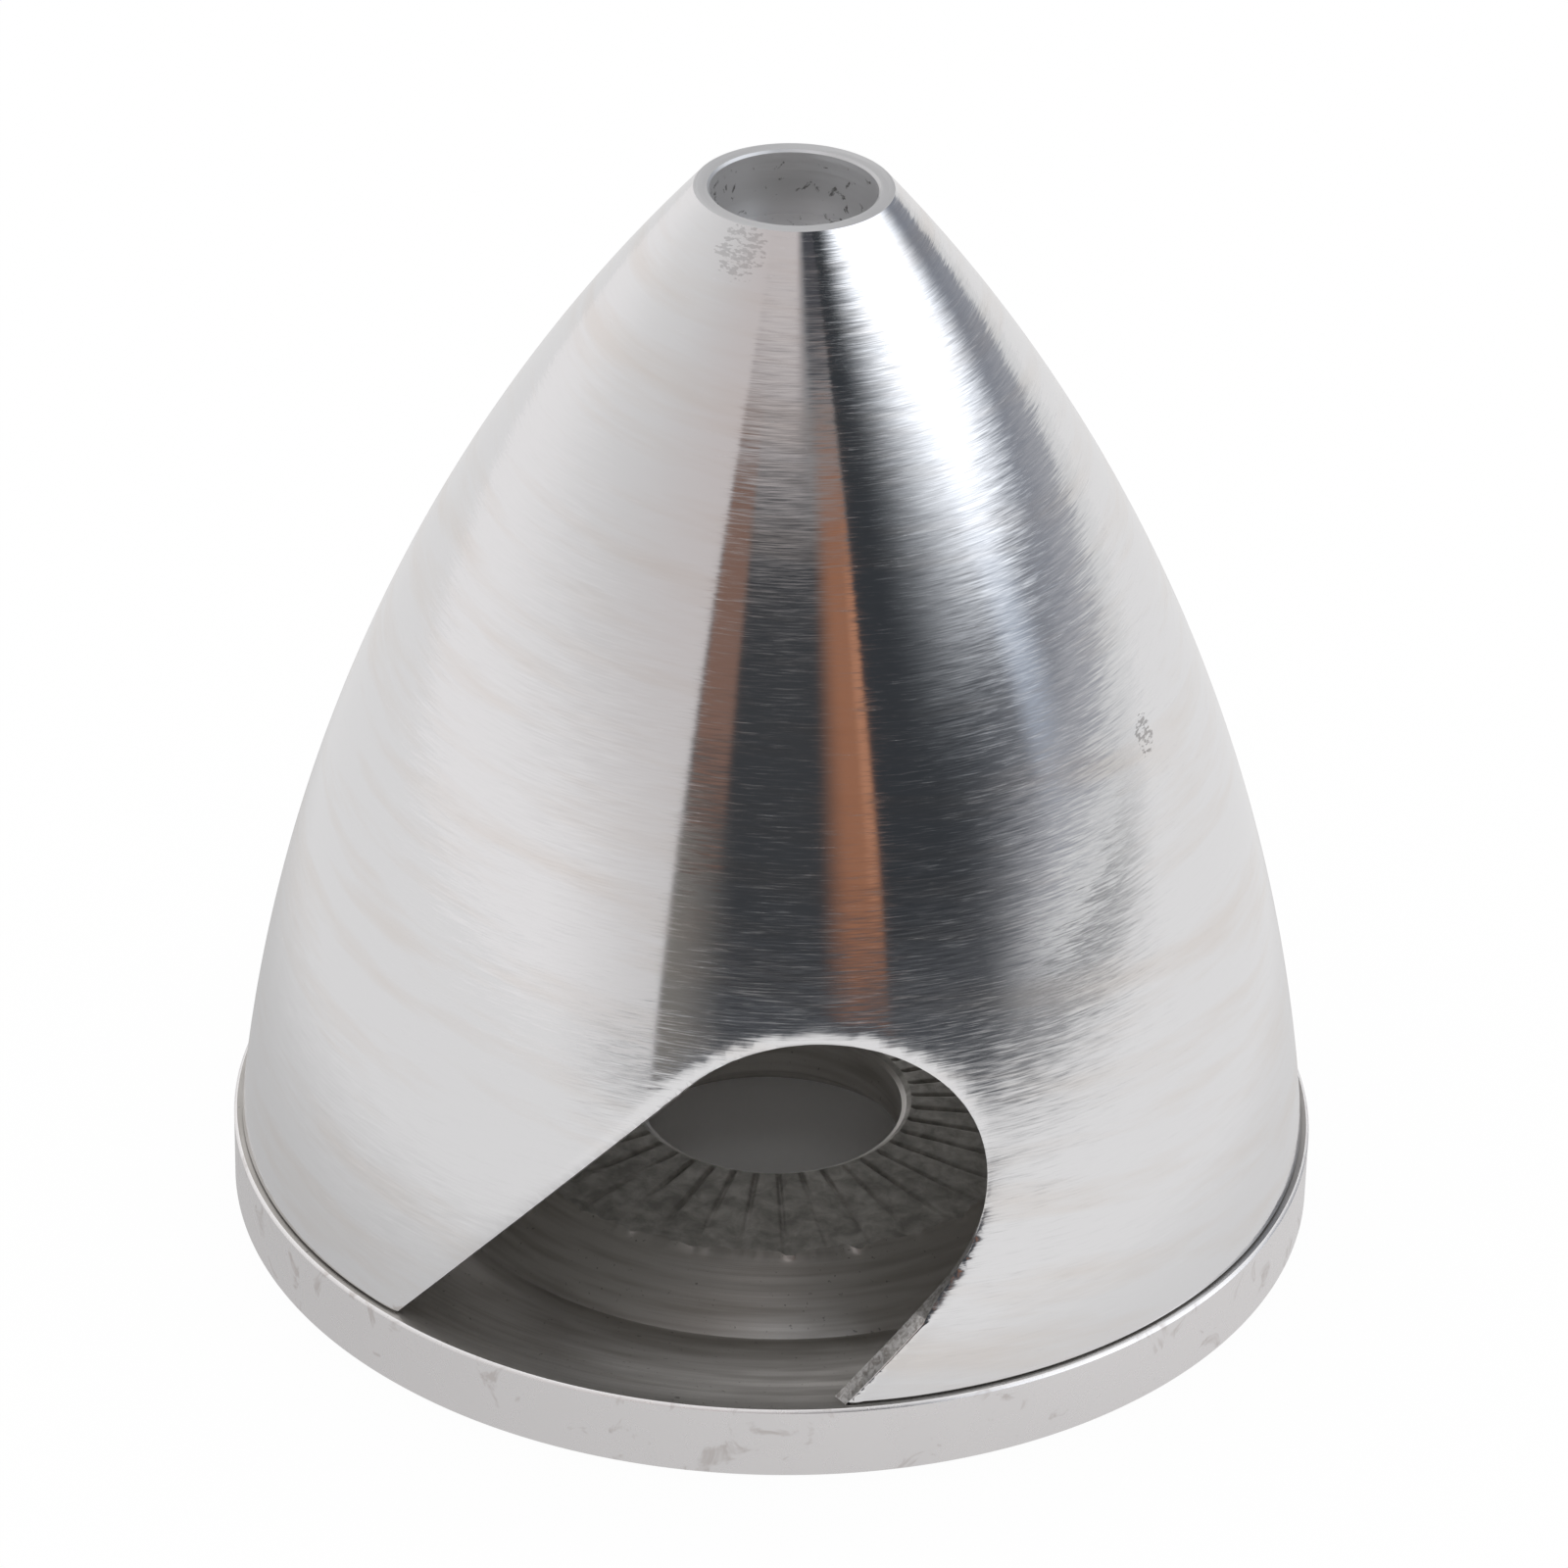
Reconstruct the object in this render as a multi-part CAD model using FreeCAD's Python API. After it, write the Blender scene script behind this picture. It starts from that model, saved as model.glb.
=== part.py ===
import FreeCAD, Part
import math
import os

# Aluminium propeller spinner, two turned pieces, millimetres.
# Origin: centre of the backplate's rear face. +Z runs along the shaft axis to the nose.
# The first blade cut-out faces -Y, the next ones follow round the axis.

# Backplate
plate_d = 57.0            # outside diameter
rim_height = 4.0          # rear face to the land that carries the cone
rim_edge_break = 0.15     # chamfer on both outer edges of the rim
web_thickness = 1.5       # thinnest metal, under the bottom of the dish
dish_bottom_d = 37.4      # circle along which the two slopes of the dish meet
drive_face_d = 29.2       # flat serrated face that grips the propeller hub
hub_thickness = 4.1       # rear face to drive face
shaft_bore_d = 13.8       # hole for the engine shaft
bore_lead_in = 0.5        # width of the lead-in on the drive face side
bore_lead_depth = 0.3     # depth of that lead-in
rear_relief = 1.3         # 45 degree relief at the rear of the bore

# Serrations of the drive face
serration_count = 40
serration_width = 0.5
serration_depth = 0.3

# Cone
cone_inset = 0.4          # step from the rim in to the foot of the cone
cone_height = 53.6        # land to nose ring
cone_wall = 0.8
foot_lean_deg = 5.7       # lean of the outside from the axis, at the foot
outside_tapers = 16       # straight tapers that follow the arc of the outside
inside_tapers = 6         # the same for the inside
taper_slack = 0.05        # every taper lies within this of its arc
foot_edge_break = 0.12    # opens a fine seam above the land
dish_inset = 0.1          # land left showing inside the cone's wall
nose_ring_wall = 0.8
head_pocket_d = 8.4       # pocket for the head of the retaining screw
head_pocket_depth = 3.5
nose_edge_break = 0.12    # chamfer at the mouth of the pocket
screw_hole_d = 5.3        # clearance for the retaining screw
screw_floor = 3.0         # metal under the screw's head

# Blade cut-outs
blade_count = 2
cutout_width = 17.46      # across the slot, measured at the distance below
cutout_gauge = 26.0       # distance from the axis at which the width is measured
cutout_start = 6.5        # distance from the axis at which the cutter starts
cutout_slant_deg = 48.0   # slant of the slot from the land
cutout_relief_deg = 10.0  # the slot narrows inwards by this angle on each side
cutout_end_side = 10.5    # centre of the slot's round end, sideways from the axis
cutout_end_rise = 10.8    # the same centre, above the land
cutout_edge_break = 0.25  # chamfer on the outer edge of the slot

axis_up = FreeCAD.Vector(0, 0, 1)
centre = FreeCAD.Vector(0, 0, 0)


def section_point(radius, height):
    return FreeCAD.Vector(radius, 0, height)


def turned(edges):
    face = Part.Face(Part.Wire(edges))
    return face.revolve(centre, axis_up, 360)


def joined(points):
    return [Part.LineSegment(a, b).toShape() for a, b in zip(points, points[1:])]


def cone_foot_radius():
    return plate_d / 2 - cone_inset


def serration_cutter():
    # One V groove, from inside the bore to just past the edge of the drive face.
    # Its sides are carried on above the face, so that the cut leaves no skin.
    bottom = hub_thickness - serration_depth
    top = hub_thickness + serration_depth
    profile = Part.Face(Part.makePolygon([
        FreeCAD.Vector(0, -serration_width, top),
        FreeCAD.Vector(0, 0, bottom),
        FreeCAD.Vector(0, serration_width, top),
        FreeCAD.Vector(0, -serration_width, top),
    ]))
    inner = shaft_bore_d / 2 - serration_width
    outer = drive_face_d / 2 + serration_width
    cutter = profile.extrude(FreeCAD.Vector(outer - inner, 0, 0))
    cutter.translate(FreeCAD.Vector(inner, 0, 0))
    return cutter


def backplate():
    rim_r = plate_d / 2
    bore_r = shaft_bore_d / 2
    dish_r = cone_foot_radius() - cone_wall + dish_inset
    outline = [
        section_point(bore_r + rear_relief, 0),
        section_point(rim_r - rim_edge_break, 0),
        section_point(rim_r, rim_edge_break),
        section_point(rim_r, rim_height - rim_edge_break),
        section_point(rim_r - rim_edge_break, rim_height),
        section_point(dish_r, rim_height),
        section_point(dish_bottom_d / 2, web_thickness),
        section_point(drive_face_d / 2, hub_thickness),
        section_point(bore_r + bore_lead_in, hub_thickness),
        section_point(bore_r, hub_thickness - bore_lead_depth),
        section_point(bore_r, rear_relief),
        section_point(bore_r + rear_relief, 0),
    ]
    plate = turned(joined(outline))
    grooves = []
    for number in range(serration_count):
        groove = serration_cutter()
        groove.rotate(centre, axis_up, 360.0 * number / serration_count)
        grooves.append(groove)
    return plate.cut(grooves)


def ogive():
    # Arc from the foot to the nose ring that leaves the foot at the given lean.
    # Returns its centre and radius in the (radius, height) section.
    foot_r = cone_foot_radius()
    nose_r = head_pocket_d / 2 + nose_ring_wall
    run = foot_r - nose_r
    chord = math.hypot(run, cone_height)
    chord_angle = math.atan2(run, cone_height)
    lean = math.radians(foot_lean_deg)
    radius = chord / (2 * math.sin(chord_angle - lean))
    return foot_r - radius * math.cos(lean), rim_height - radius * math.sin(lean), radius


def arc_radius_at(arc, height):
    centre_r, centre_z, radius = arc
    return centre_r + math.sqrt(radius ** 2 - (height - centre_z) ** 2)


def tapers(arc, start_z, end_z, count):
    # Points that divide a stretch of the arc into equal turns.
    centre_r, centre_z, radius = arc
    start = math.asin((start_z - centre_z) / radius)
    turn = (math.asin((end_z - centre_z) / radius) - start) / count
    angles = [start + turn * step for step in range(count + 1)]
    return [
        section_point(centre_r + radius * math.cos(angle), centre_z + radius * math.sin(angle))
        for angle in angles
    ]


def cone_shell():
    nose_z = rim_height + cone_height
    pocket_z = nose_z - head_pocket_depth
    roof_z = pocket_z - screw_floor
    pocket_r = head_pocket_d / 2
    hole_r = screw_hole_d / 2
    outside = ogive()
    inside = (outside[0], outside[1], outside[2] - cone_wall)
    foot_z = rim_height + foot_edge_break
    outline = tapers(outside, foot_z, nose_z, outside_tapers)
    outline += [
        section_point(pocket_r + nose_edge_break, nose_z),
        section_point(pocket_r, nose_z - nose_edge_break),
        section_point(pocket_r, pocket_z),
        section_point(hole_r, pocket_z),
        section_point(hole_r, roof_z),
    ]
    outline += tapers(inside, roof_z, rim_height, inside_tapers)
    outline += [
        section_point(outline[0].x - foot_edge_break, rim_height),
        outline[0],
    ]
    return turned(joined(outline))


def slot_wire(distance):
    # Slanted slot with a round upper end, drawn on the plane y = -distance.
    slant = math.radians(cutout_slant_deg)
    relief = math.tan(math.radians(cutout_relief_deg))
    half = cutout_width / 2 + (distance - cutout_gauge) * relief
    along = FreeCAD.Vector(math.cos(slant), 0, math.sin(slant))
    across = FreeCAD.Vector(-math.sin(slant), 0, math.cos(slant))
    end = FreeCAD.Vector(cutout_end_side, -distance, rim_height + cutout_end_rise)
    length = (cutout_end_rise + plate_d / 2) / math.sin(slant)
    left = end + across * half
    right = end - across * half
    low_left = left - along * length
    low_right = right - along * length
    tip = end + along * half
    return Part.Wire([
        Part.LineSegment(low_left, left).toShape(),
        Part.Arc(left, tip, right).toShape(),
        Part.LineSegment(right, low_right).toShape(),
        Part.LineSegment(low_right, low_left).toShape(),
    ])


def blade_cutter():
    outer = slot_wire(plate_d / 2 + cutout_start)
    inner = slot_wire(cutout_start)
    return Part.makeLoft([inner, outer], True, True)


def cutout_edges(cone):
    # Edges of the slots on the outside. The tapers meet in circles and the seam is
    # straight, so any other edge out there belongs to a slot.
    outside = ogive()
    chosen = []
    for edge in cone.Edges:
        ends_and_middle = edge.discretize(3)
        on_outside = all(
            abs(math.hypot(p.x, p.y) - arc_radius_at(outside, p.z)) < taper_slack
            for p in ends_and_middle
        )
        if on_outside and not isinstance(edge.Curve, (Part.Circle, Part.Line)):
            chosen.append(edge)
    return chosen


def spinner_cone():
    shell = cone_shell()
    cutters = []
    for number in range(blade_count):
        cutter = blade_cutter()
        cutter.rotate(centre, axis_up, 360.0 * number / blade_count)
        cutters.append(cutter)
    cone = shell.cut(cutters)
    return cone.makeChamfer(cutout_edge_break, cutout_edges(cone))


os.makedirs("parts", exist_ok=True)
backplate().exportStep("parts/backplate.step")
spinner_cone().exportStep("parts/spinner_cone.step")
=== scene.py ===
import math

import bmesh
import bpy
from mathutils import Matrix, Vector, noise


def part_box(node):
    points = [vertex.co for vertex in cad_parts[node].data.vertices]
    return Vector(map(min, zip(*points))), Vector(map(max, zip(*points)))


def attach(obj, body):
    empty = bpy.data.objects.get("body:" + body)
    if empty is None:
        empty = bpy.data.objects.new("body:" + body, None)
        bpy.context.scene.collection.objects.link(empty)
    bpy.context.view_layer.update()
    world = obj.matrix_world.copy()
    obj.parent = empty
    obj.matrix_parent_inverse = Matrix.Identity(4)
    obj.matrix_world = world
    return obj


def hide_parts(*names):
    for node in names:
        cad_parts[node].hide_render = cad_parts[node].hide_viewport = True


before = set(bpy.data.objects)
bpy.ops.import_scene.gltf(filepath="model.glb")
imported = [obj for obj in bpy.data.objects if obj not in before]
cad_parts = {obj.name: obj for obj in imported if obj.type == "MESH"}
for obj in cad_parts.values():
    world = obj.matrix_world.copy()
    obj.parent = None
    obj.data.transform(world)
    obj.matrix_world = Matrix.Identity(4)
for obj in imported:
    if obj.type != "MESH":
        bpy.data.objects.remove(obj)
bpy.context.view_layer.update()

coneLow, coneHigh = [Vector(corner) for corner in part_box("spinner_cone")]
mm = 0.001
print("loaded", list(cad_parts))


def linearColor(hexValue):
    channels = [int(hexValue[i:i + 2], 16) / 255 for i in (1, 3, 5)]
    return [c / 12.92 if c <= 0.04045 else ((c + 0.055) / 1.055) ** 2.4 for c in channels] + [1.0]


def addNode(tree, kind, inputs=None, links=None, **settings):
    # inputs sets sockets to fixed values, links joins them to other nodes' outputs
    node = tree.nodes.new(kind)
    for name, value in settings.items():
        setattr(node, name, value)
    for socket, value in (inputs or {}).items():
        node.inputs[socket].default_value = value
    for socket, source in (links or {}).items():
        tree.links.new(source, node.inputs[socket])
    return node


# Where the camera stands, seen from the middle of the backplate's rear face
view = {
    "azimuth": 19.1,      # degrees round from -Y towards +X
    "distance": 318.94,   # mm from the axis, along the floor
    "height": 212.08,     # mm above the floor
    "turn": -0.04,        # degrees, aim sideways
    "tilt": 30.61,        # degrees below the horizon
    "roll": 1.42,         # degrees
    "lens": 164.4,        # mm on a 36 mm sensor
}


def placeCamera():
    data = bpy.data.cameras.new("mainCamera")
    data.sensor_width = 36.0
    data.lens = view["lens"]
    data.clip_start = 0.01
    camera = bpy.data.objects.new("mainCamera", data)
    bpy.context.scene.collection.objects.link(camera)
    turn = math.radians(view["azimuth"])
    place = Vector((math.sin(turn), -math.cos(turn), 0)) * view["distance"] * mm
    place.z = view["height"] * mm
    facing = Matrix.Rotation(turn + math.radians(view["turn"]), 4, "Z")
    tilting = Matrix.Rotation(math.radians(90 - view["tilt"]), 4, "X")
    rolling = Matrix.Rotation(math.radians(view["roll"]), 4, "Z")
    camera.matrix_world = Matrix.Translation(place) @ facing @ tilting @ rolling
    bpy.context.scene.camera = camera


# The studio that the polished metal mirrors. Azimuths are in degrees round from the camera's own,
# elevations in degrees above the horizon, each as a ramp up and a ramp down. Later cards lie over
# earlier ones. lean moves the end of the first ramp with the elevation.
everywhere = (-400, -400, 400, 400)
studio = {
    "wall": "#CDCBCB",
    "strength": 1.0,
    "cards": [
        {"name": "far wall", "azimuths": (-400, -400, -140, -50), "elevations": everywhere,
         "color": "#E2E1E1"},
        {"name": "low wall", "azimuths": (-400, -400, -60, -20), "elevations": (-400, -400, 2, 26),
         "color": "#EBE9E9"},
        {"name": "near wall", "azimuths": (-80, -25, 8, 14), "elevations": (0, 40, 400, 400),
         "color": "#C5BEBD"},
        {"name": "dark opening", "azimuths": (-27, -24.5, 164, 168), "elevations": (-400, -400, 29, 52),
         "color": "#37393C"},
        {"name": "low opening", "azimuths": (-27, -24, 40, 60), "elevations": (-400, -400, 2, 9),
         "color": "#4A4C50"},
        {"name": "dark top", "azimuths": (3, 16, 164, 168), "elevations": (36, 50, 400, 400),
         "color": "#45464B"},
        {"name": "left opening edge", "azimuths": (-27, -25, -25, -9), "elevations": (-400, -400, 12, 18),
         "color": "#76736F"},
        {"name": "left copper strip", "azimuths": (-26, -24, -16, -13), "elevations": (13, 22, 34, 42),
         "color": "#7C6156"},
        {"name": "copper strip", "azimuths": (10, 19, 25, 27), "elevations": (0, 12, 30, 46),
         "color": "#95674F"},
        {"name": "copper edge", "azimuths": (22, 24, 25, 26.5), "elevations": (8, 16, 26, 36),
         "color": "#AF7D62"},
        {"name": "dark right", "azimuths": (25.5, 28, 164, 168), "elevations": (6, 12, 400, 400),
         "color": "#313438"},
        {"name": "grey band", "azimuths": (40, 110, 164, 168), "elevations": everywhere,
         "color": "#7E828B", "power": 1.3},
        {"name": "low band", "azimuths": (40, 78, 110, 156), "elevations": (-400, -400, 3, 14),
         "color": "#A6A7AC", "power": 1.5},
        {"name": "streak tail", "azimuths": (70, 79, 80, 91), "elevations": (5, 13, 22, 30),
         "color": "#A3ABB8"},
        {"name": "soft box", "azimuths": (34, 110.4, 106, 136), "elevations": (11, 25, 400, 400),
         "color": "#F5F9FF", "strength": 1.55, "lean": -1.1, "power": 2.3},
        {"name": "table edge", "azimuths": (48, 76, 170, 176), "elevations": (-400, -400, 0, 4),
         "color": "#DCDCDC"},
        {"name": "back flag", "azimuths": (172, 176, 400, 400), "elevations": (6, 12, 60, 70),
         "color": "#3A3B40"},
    ],
}


def studioCard(tree, azimuth, elevation, behind, card):
    # Four ramps multiplied make the mask of a card
    rise, top, fall, end = card["azimuths"]
    low, lift, drop, high = card["elevations"]
    mask = None
    for angle, start, stop, falling in ((azimuth, rise, top, 0), (azimuth, fall, end, 1),
                                        (elevation, low, lift, 0), (elevation, drop, high, 1)):
        edge = addNode(tree, "ShaderNodeMapRange",
                       {"From Min": start, "From Max": stop + 0.01, "To Min": falling, "To Max": 1 - falling},
                       {"Value": angle}, interpolation_type="SMOOTHSTEP")
        if mask is None:
            if "lean" in card:
                leaning = addNode(tree, "ShaderNodeMath", {1: card["lean"], 2: stop}, {0: elevation},
                                  operation="MULTIPLY_ADD")
                edge.interpolation_type = "LINEAR"
                tree.links.new(leaning.outputs[0], edge.inputs["From Max"])
            mask = addNode(tree, "ShaderNodeMath", {1: card.get("power", 1)}, {0: edge.outputs["Result"]},
                           operation="POWER").outputs[0]
        else:
            mask = addNode(tree, "ShaderNodeMath", {}, {0: mask, 1: edge.outputs["Result"]},
                           operation="MULTIPLY").outputs[0]
    color = [c * card.get("strength", 1) for c in linearColor(card["color"])[:3]] + [1]
    mix = addNode(tree, "ShaderNodeMix", {"B": color}, {"Factor": mask}, data_type="RGBA")
    if behind is None:
        mix.inputs["A"].default_value = linearColor(studio["wall"])
    else:
        tree.links.new(behind, mix.inputs["A"])
    return mix.outputs["Result"]


def buildStudio():
    # White for the eye and for lighting, cards and boxes only in what the metal mirrors
    world = bpy.data.worlds.new("studio")
    bpy.context.scene.world = world
    world.use_nodes = True
    tree = world.node_tree
    tree.nodes.clear()
    direction = addNode(tree, "ShaderNodeTexCoord").outputs["Generated"]
    turned = addNode(tree, "ShaderNodeVectorRotate", {"Angle": -math.radians(view["azimuth"])},
                     {"Vector": direction}, rotation_type="Z_AXIS")
    split = addNode(tree, "ShaderNodeSeparateXYZ", {}, {0: turned.outputs[0]})
    back = addNode(tree, "ShaderNodeMath", {1: -1.0}, {0: split.outputs["Y"]}, operation="MULTIPLY")
    heading = addNode(tree, "ShaderNodeMath", {}, {0: split.outputs["X"], 1: back.outputs[0]},
                      operation="ARCTAN2")
    azimuth = addNode(tree, "ShaderNodeMath", {}, {0: heading.outputs[0]}, operation="DEGREES").outputs[0]
    rise = addNode(tree, "ShaderNodeMath", {}, {0: split.outputs["Z"]}, operation="ARCSINE")
    elevation = addNode(tree, "ShaderNodeMath", {}, {0: rise.outputs[0]}, operation="DEGREES").outputs[0]
    mirrored = None
    for card in studio["cards"]:
        mirrored = studioCard(tree, azimuth, elevation, mirrored, card)
    rays = addNode(tree, "ShaderNodeLightPath")
    plain = addNode(tree, "ShaderNodeBackground", {"Color": linearColor("#FFFFFF")})
    cards = addNode(tree, "ShaderNodeBackground", {"Strength": studio["strength"]}, {"Color": mirrored})
    both = addNode(tree, "ShaderNodeMixShader", {},
                   {0: rays.outputs["Is Glossy Ray"], 1: plain.outputs[0], 2: cards.outputs[0]})
    addNode(tree, "ShaderNodeOutputWorld", {}, {"Surface": both.outputs[0]})


# White table that the part stands on, in mm
table = {
    "size": 1400,
    "white": "#FFFFFF",
    "mirrored": "#E4E3E3",   # how the metal sees it
    "paintedShadeFarEnd": "#5A5C60",     # painted shade: how it sees the end towards the dark opening
    "farAzimuth": 49,        # degrees round from -Y to that end
    "farStart": 70,
    "farStop": 330,
    "paintedShadow": 0.70,           # painted shadow: what is left of the mirrored white close to the part
    "nearStart": 28,
    "nearStop": 75,
    "paintedLight": 0.15,            # painted light: how much lighter it gets beside the part, on one side
    "paintedLightAzimuth": 95,
    "shadow": 0.05,          # share of its own light and shadow that stays beside the white
    "underPart": 27,         # only its own light inside this radius
}


def buildTable():
    mesh = bpy.data.meshes.new("table")
    bm = bmesh.new()
    bmesh.ops.create_circle(bm, cap_ends=True, segments=96, radius=table["size"] / 2 * mm)
    bm.to_mesh(mesh)
    bm.free()
    piece = bpy.data.objects.new("table", mesh)
    bpy.context.scene.collection.objects.link(piece)
    material, tree = newMaterial("whiteTable")
    rays = addNode(tree, "ShaderNodeLightPath")
    place = addNode(tree, "ShaderNodeTexCoord").outputs["Object"]
    radius = addNode(tree, "ShaderNodeVectorMath", {}, {0: place}, operation="LENGTH").outputs["Value"]
    clear = addNode(tree, "ShaderNodeMapRange",
                    {"From Min": table["underPart"] * mm, "From Max": (table["underPart"] + 1) * mm,
                     "To Max": 1 - table["shadow"]}, {"Value": radius})
    # painted shadow: the mirrored white is darker close to the part
    near = addNode(tree, "ShaderNodeMapRange",
                   {"From Min": table["nearStart"] * mm, "From Max": table["nearStop"] * mm,
                    "To Min": table["paintedShadow"], "To Max": 1.0},
                   {"Value": radius}, interpolation_type="SMOOTHSTEP")
    along, aside = [
        addNode(tree, "ShaderNodeVectorMath", {1: (math.sin(turn), -math.cos(turn), 0)}, {0: place},
                operation="DOT_PRODUCT")
        for turn in (math.radians(table["farAzimuth"]), math.radians(table["paintedLightAzimuth"]))]
    # painted shade: the mirrored white darkens towards the far end
    far = addNode(tree, "ShaderNodeMapRange",
                  {"From Min": table["farStart"] * mm, "From Max": table["farStop"] * mm},
                  {"Value": along.outputs["Value"]}, interpolation_type="SMOOTHSTEP")
    # painted light: the mirrored white is lighter beside the part, on one side
    paintedLight = addNode(tree, "ShaderNodeMapRange",
                   {"From Min": -table["nearStart"] * mm, "From Max": table["nearStart"] * mm,
                    "To Min": -table["paintedLight"] / 3, "To Max": table["paintedLight"]},
                   {"Value": aside.outputs["Value"]})
    strength = addNode(tree, "ShaderNodeMath", {}, {0: near.outputs["Result"], 1: paintedLight.outputs["Result"]})
    strength = addNode(tree, "ShaderNodeMath", {1: 1.0}, {0: strength.outputs[0]}, operation="MINIMUM")
    tone = addNode(tree, "ShaderNodeMix",
                   {"A": linearColor(table["mirrored"]), "B": linearColor(table["paintedShadeFarEnd"])},
                   {"Factor": far.outputs["Result"]}, data_type="RGBA")
    paint = addNode(tree, "ShaderNodeBsdfDiffuse", {"Color": linearColor(table["white"])})
    white = addNode(tree, "ShaderNodeEmission", {"Color": linearColor(table["white"])})
    mirrored = addNode(tree, "ShaderNodeEmission", {},
                       {"Color": tone.outputs["Result"], "Strength": strength.outputs[0]})
    lit = addNode(tree, "ShaderNodeMixShader", {},
                  {0: rays.outputs["Is Glossy Ray"], 1: white.outputs[0], 2: mirrored.outputs[0]})
    seen = addNode(tree, "ShaderNodeMath", {},
                   {0: rays.outputs["Is Camera Ray"], 1: rays.outputs["Is Glossy Ray"]}, operation="MAXIMUM")
    share = addNode(tree, "ShaderNodeMath", {}, {0: seen.outputs[0], 1: clear.outputs["Result"]},
                    operation="MULTIPLY")
    both = addNode(tree, "ShaderNodeMixShader", {},
                   {0: share.outputs[0], 1: paint.outputs[0], 2: lit.outputs[0]})
    addNode(tree, "ShaderNodeOutputMaterial", {}, {"Surface": both.outputs[0]})
    mesh.materials.append(material)


def newMaterial(name):
    material = bpy.data.materials.new(name)
    material.use_nodes = True
    material.node_tree.nodes.clear()
    return material, material.node_tree


def turnedPattern(tree):
    # Coordinates of a turned part: x, y and the distance up the section, in mm, and the direction
    # across the turning marks, for the stretch of the highlights
    place = addNode(tree, "ShaderNodeTexCoord").outputs["Object"]
    split = addNode(tree, "ShaderNodeSeparateXYZ", {}, {0: place})
    flat = addNode(tree, "ShaderNodeVectorMath", {1: (1, 1, 0)}, {0: place}, operation="MULTIPLY")
    radius = addNode(tree, "ShaderNodeVectorMath", {}, {0: flat.outputs[0]}, operation="LENGTH")
    section = addNode(tree, "ShaderNodeMath", {}, {0: split.outputs["Z"], 1: radius.outputs["Value"]},
                      operation="SUBTRACT")
    joined = addNode(tree, "ShaderNodeCombineXYZ", {},
                     {"X": split.outputs["X"], "Y": split.outputs["Y"], "Z": section.outputs[0]})
    inMm = addNode(tree, "ShaderNodeVectorMath", {"Scale": 1 / mm}, {0: joined.outputs[0]}, operation="SCALE")
    surface = addNode(tree, "ShaderNodeNewGeometry").outputs["Normal"]
    along = addNode(tree, "ShaderNodeVectorMath", {0: (0, 0, 1)}, {1: place}, operation="CROSS_PRODUCT")
    across = addNode(tree, "ShaderNodeVectorMath", {}, {0: along.outputs[0], 1: surface},
                     operation="CROSS_PRODUCT")
    unit = addNode(tree, "ShaderNodeVectorMath", {}, {0: across.outputs[0]}, operation="NORMALIZE")
    return {"place": place, "mm": inMm.outputs[0], "normal": surface, "across": unit.outputs[0],
            "radius": radius.outputs["Value"], "height": split.outputs["Z"]}


def marks(tree, turned, reach, gap, lean=(0, 0), detail=2):
    # Noise drawn out into marks that reach this many mm round the part and lie this many mm apart.
    # lean tips them out of the planes of turning.
    tipped = addNode(tree, "ShaderNodeVectorMath", {1: (lean[0], lean[1], 1)}, {0: turned["mm"]},
                     operation="DOT_PRODUCT")
    split = addNode(tree, "ShaderNodeSeparateXYZ", {}, {0: turned["mm"]})
    joined = addNode(tree, "ShaderNodeCombineXYZ", {},
                     {"X": split.outputs["X"], "Y": split.outputs["Y"], "Z": tipped.outputs["Value"]})
    scaled = addNode(tree, "ShaderNodeVectorMath", {1: (1 / reach, 1 / reach, 1 / gap)},
                     {0: joined.outputs[0]}, operation="MULTIPLY")
    pattern = addNode(tree, "ShaderNodeTexNoise", {"Scale": 1.0, "Detail": detail, "Roughness": 0.6},
                      {"Vector": scaled.outputs[0]})
    return pattern.outputs["Fac"]


def mottle(tree, pattern, low, high, first, second, most=1.0):
    # Runs from the first colour to the second where the pattern runs from low to high.
    # most is the largest share of the second. Colours are hex values or outputs.
    share = addNode(tree, "ShaderNodeMapRange", {"From Min": low, "From Max": high, "To Max": most},
                    {"Value": pattern})
    blend = addNode(tree, "ShaderNodeMix", {}, {"Factor": share.outputs["Result"]}, data_type="RGBA")
    for socket, value in (("A", first), ("B", second)):
        if isinstance(value, str):
            blend.inputs[socket].default_value = linearColor(value)
        else:
            tree.links.new(value, blend.inputs[socket])
    return blend.outputs["Result"]


def tippedNormal(tree, turned, parts):
    # Adds up (pattern, amount) pairs and tips the surface that much across the marks
    total = None
    for pattern, amount in parts:
        centred = addNode(tree, "ShaderNodeMath", {1: 0.5}, {0: pattern}, operation="SUBTRACT")
        links = {0: centred.outputs[0]}
        if total is not None:
            links[2] = total
        total = addNode(tree, "ShaderNodeMath", {1: amount, 2: 0.0}, links,
                        operation="MULTIPLY_ADD").outputs[0]
    push = addNode(tree, "ShaderNodeVectorMath", {}, {0: turned["across"], "Scale": total}, operation="SCALE")
    tipped = addNode(tree, "ShaderNodeVectorMath", {}, {0: turned["normal"], 1: push.outputs[0]},
                     operation="ADD")
    unit = addNode(tree, "ShaderNodeVectorMath", {}, {0: tipped.outputs[0]}, operation="NORMALIZE")
    return unit.outputs[0]


def metalFinish(tree, inputs, links):
    # bare metal, unless the inputs or links give it a dull film
    metal = addNode(tree, "ShaderNodeBsdfPrincipled", {"Metallic": 1.0, **inputs}, links)
    addNode(tree, "ShaderNodeOutputMaterial", {}, {"Surface": metal.outputs[0]})


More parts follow.
